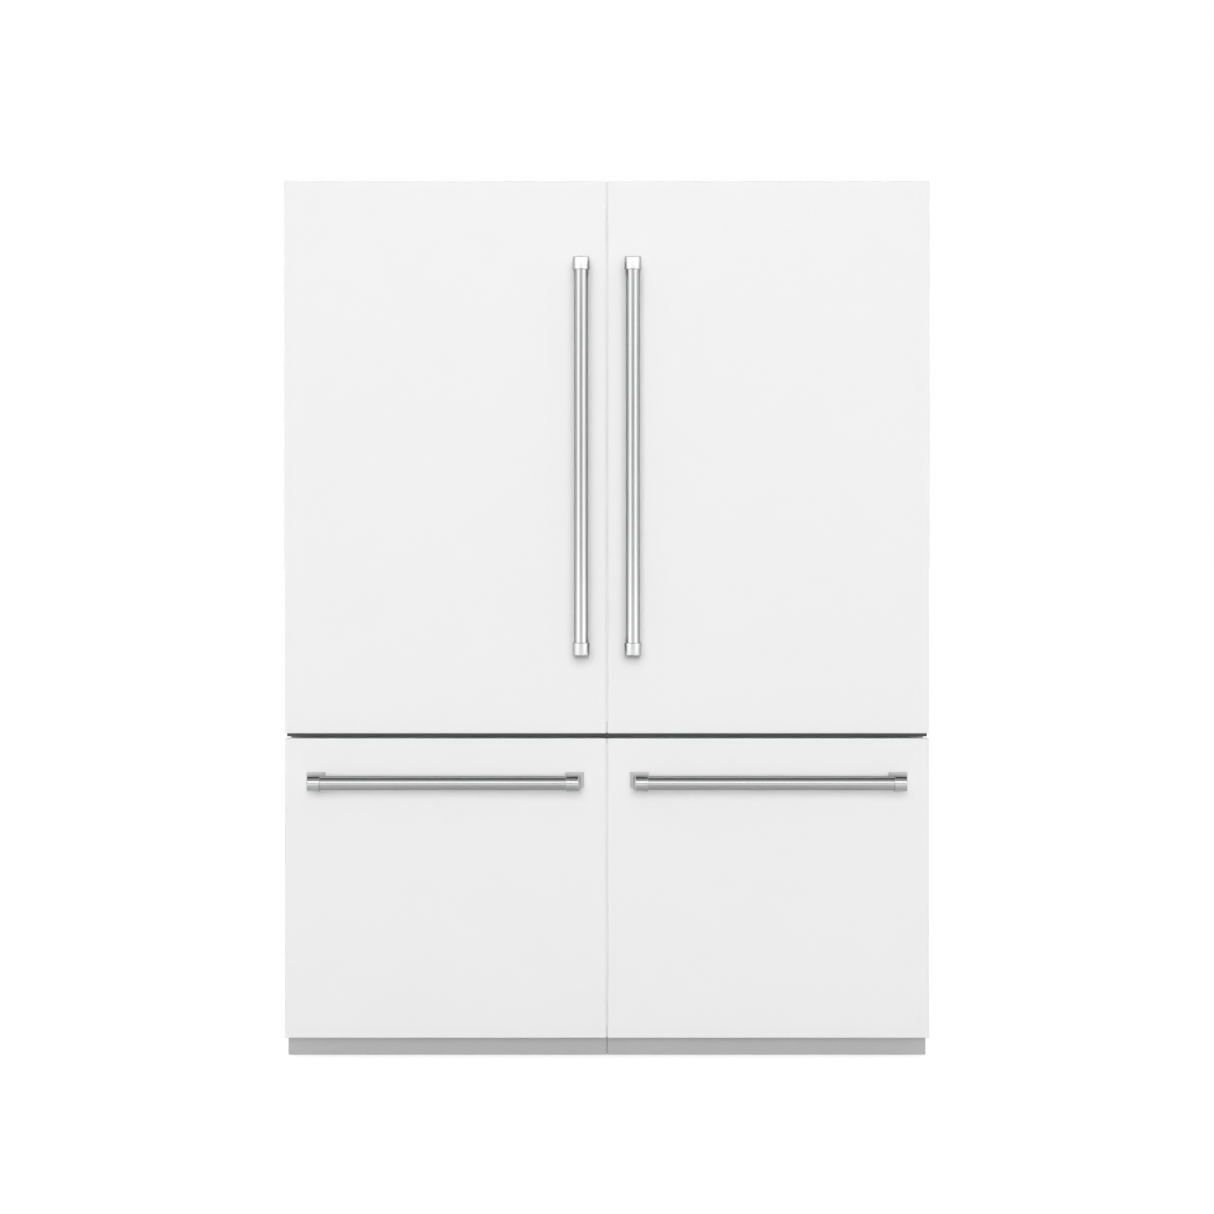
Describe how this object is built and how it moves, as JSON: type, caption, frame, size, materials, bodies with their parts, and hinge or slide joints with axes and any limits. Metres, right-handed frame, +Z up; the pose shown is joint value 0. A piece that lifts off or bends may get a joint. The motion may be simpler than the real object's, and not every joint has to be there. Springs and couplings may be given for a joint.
{
  "type": "french door refrigerator",
  "caption": "French door refrigerator with a pair of tall side-hinged doors over a pair of freezer drawers, flat panels and bar handles.",
  "frame": {"origin": "on the floor, at the middle of the width and of the depth over the handles", "axes": "+X to the viewer's right when facing the doors, +Y towards the back, +Z up"},
  "size_m": [1.516, 0.71, 2.072],
  "materials": {
    "panel": "matte white lacquer on fibre board",
    "case": "satin grey enamel",
    "body_pan": "satin light grey enamel",
    "liner": "moulded white, low gloss",
    "foam": "closed-cell foam",
    "galvanized": "galvanised sheet",
    "toe": "satin grey",
    "dark_rail": "satin dark grey",
    "gasket": "soft vinyl, matte",
    "handle": "brushed along the bar",
    "handle_post": "polished and brushed",
    "glass": "clear tempered",
    "clear_bin": "clear moulded plastic",
    "frame": "moulded white",
    "light": "frosted lens",
    "control": "smoked touch panel",
    "zinc": "zinc plated",
    "slide": "zinc plated, rolled",
    "fins": "mill finish fins",
    "compressor": "black enamel",
    "fan": "moulded black",
    "brass": "machined",
    "leg": "moulded black, steel stem"
  },
  "bodies": {
    "cabinet": {"insulation": "foam", "fridge_liners": "liner", "freezer_liners": "liner", "rear_covers": "galvanized", "toe_kicks": "toe", "hinge_rails": "dark_rail", "top_hinges": "zinc", "leveling_legs": "leg", "tie_bracket": "zinc", "glass_shelves": "glass", "shelf_frames": "frame", "led_light_bars": "light", "control_panels": "control", "crisper_frames": "frame", "air_covers": "liner", "evaporators": "fins", "compressors": "compressor", "condensers": "fins", "freezer_rails": "slide", "rear_fittings": "brass", "left_cabinet_shell": "case", "right_cabinet_shell": "case"},
    "left_door": {"left_door_panel": "panel", "left_door_body": "body_pan", "left_door_liner": "liner", "left_door_gasket": "gasket", "left_door_bins": "clear_bin", "left_door_handle_bar": "handle", "left_door_handle_posts": "handle_post"},
    "left_drawer": {"left_drawer_panel": "panel", "left_drawer_body": "body_pan", "left_drawer_gasket": "gasket", "left_drawer_handle_bar": "handle", "left_drawer_handle_posts": "handle_post", "left_drawer_slides": "slide", "left_freezer_basket": "clear_bin"},
    "left_slide_middles": {"left_slide_middles": "slide"},
    "left_freezer_tray": {"left_freezer_tray": "clear_bin"},
    "left_crisper": {"left_crisper": "clear_bin"},
    "left_evaporator_fan": {"left_evaporator_fan": "fan"},
    "left_condenser_fan": {"left_condenser_fan": "fan"},
    "right_door": {"right_door_panel": "panel", "right_door_body": "body_pan", "right_door_liner": "liner", "right_door_gasket": "gasket", "right_door_bins": "clear_bin", "right_door_handle_bar": "handle", "right_door_handle_posts": "handle_post"},
    "right_drawer": {"right_drawer_panel": "panel", "right_drawer_body": "body_pan", "right_drawer_gasket": "gasket", "right_drawer_handle_bar": "handle", "right_drawer_handle_posts": "handle_post", "right_drawer_slides": "slide", "right_freezer_basket": "clear_bin"},
    "right_slide_middles": {"right_slide_middles": "slide"},
    "right_freezer_tray": {"right_freezer_tray": "clear_bin"},
    "right_crisper": {"right_crisper": "clear_bin"},
    "right_evaporator_fan": {"right_evaporator_fan": "fan"},
    "right_condenser_fan": {"right_condenser_fan": "fan"}
  },
  "joints": [
    {"name": "left_door_swing", "type": "hinge", "parent": "cabinet", "child": "left_door", "pos_m": [-0.74, -0.225, 0.774], "axis": [0, 0, -1], "range_deg": [0, 110]},
    {"name": "left_drawer_slide", "type": "slide", "parent": "cabinet", "child": "left_drawer", "axis": [0, -1, 0], "range_m": [0, 0.385]},
    {"name": "left_slide_middles_slide", "type": "slide", "parent": "cabinet", "child": "left_slide_middles", "axis": [0, -1, 0], "range_m": [0, 0.385]},
    {"name": "left_freezer_tray_slide", "type": "slide", "parent": "cabinet", "child": "left_freezer_tray", "axis": [0, -1, 0], "range_m": [0, 0.3]},
    {"name": "left_crisper_slide", "type": "slide", "parent": "cabinet", "child": "left_crisper", "axis": [0, -1, 0], "range_m": [0, 0.2]},
    {"name": "left_evaporator_fan_spin", "type": "hinge", "parent": "cabinet", "child": "left_evaporator_fan", "pos_m": [-0.379, 0.248, 0.667], "axis": [0, 1, 0], "continuous": true},
    {"name": "left_condenser_fan_spin", "type": "hinge", "parent": "cabinet", "child": "left_condenser_fan", "pos_m": [-0.332, 0.24, 0.165], "axis": [1, 0, 0], "continuous": true},
    {"name": "right_door_swing", "type": "hinge", "parent": "cabinet", "child": "right_door", "pos_m": [0.74, -0.225, 0.774], "axis": [0, 0, 1], "range_deg": [0, 110]},
    {"name": "right_drawer_slide", "type": "slide", "parent": "cabinet", "child": "right_drawer", "axis": [0, -1, 0], "range_m": [0, 0.385]},
    {"name": "right_slide_middles_slide", "type": "slide", "parent": "cabinet", "child": "right_slide_middles", "axis": [0, -1, 0], "range_m": [0, 0.385]},
    {"name": "right_freezer_tray_slide", "type": "slide", "parent": "cabinet", "child": "right_freezer_tray", "axis": [0, -1, 0], "range_m": [0, 0.3]},
    {"name": "right_crisper_slide", "type": "slide", "parent": "cabinet", "child": "right_crisper", "axis": [0, -1, 0], "range_m": [0, 0.2]},
    {"name": "right_evaporator_fan_spin", "type": "hinge", "parent": "cabinet", "child": "right_evaporator_fan", "pos_m": [0.379, 0.248, 0.667], "axis": [0, 1, 0], "continuous": true},
    {"name": "right_condenser_fan_spin", "type": "hinge", "parent": "cabinet", "child": "right_condenser_fan", "pos_m": [0.332, 0.24, 0.165], "axis": [1, 0, 0], "continuous": true}
  ],
  "couplings": [
    {"joint": "left_slide_middles_slide", "follows": "left_drawer_slide", "ratio": 0.5},
    {"joint": "left_freezer_tray_slide", "follows": "left_drawer_slide", "ratio": 0.6},
    {"joint": "left_crisper_slide", "follows": "left_door_swing", "m_per_rad": 0.09},
    {"joint": "right_slide_middles_slide", "follows": "right_drawer_slide", "ratio": 0.5},
    {"joint": "right_freezer_tray_slide", "follows": "right_drawer_slide", "ratio": 0.6},
    {"joint": "right_crisper_slide", "follows": "right_door_swing", "m_per_rad": 0.09}
  ]
}
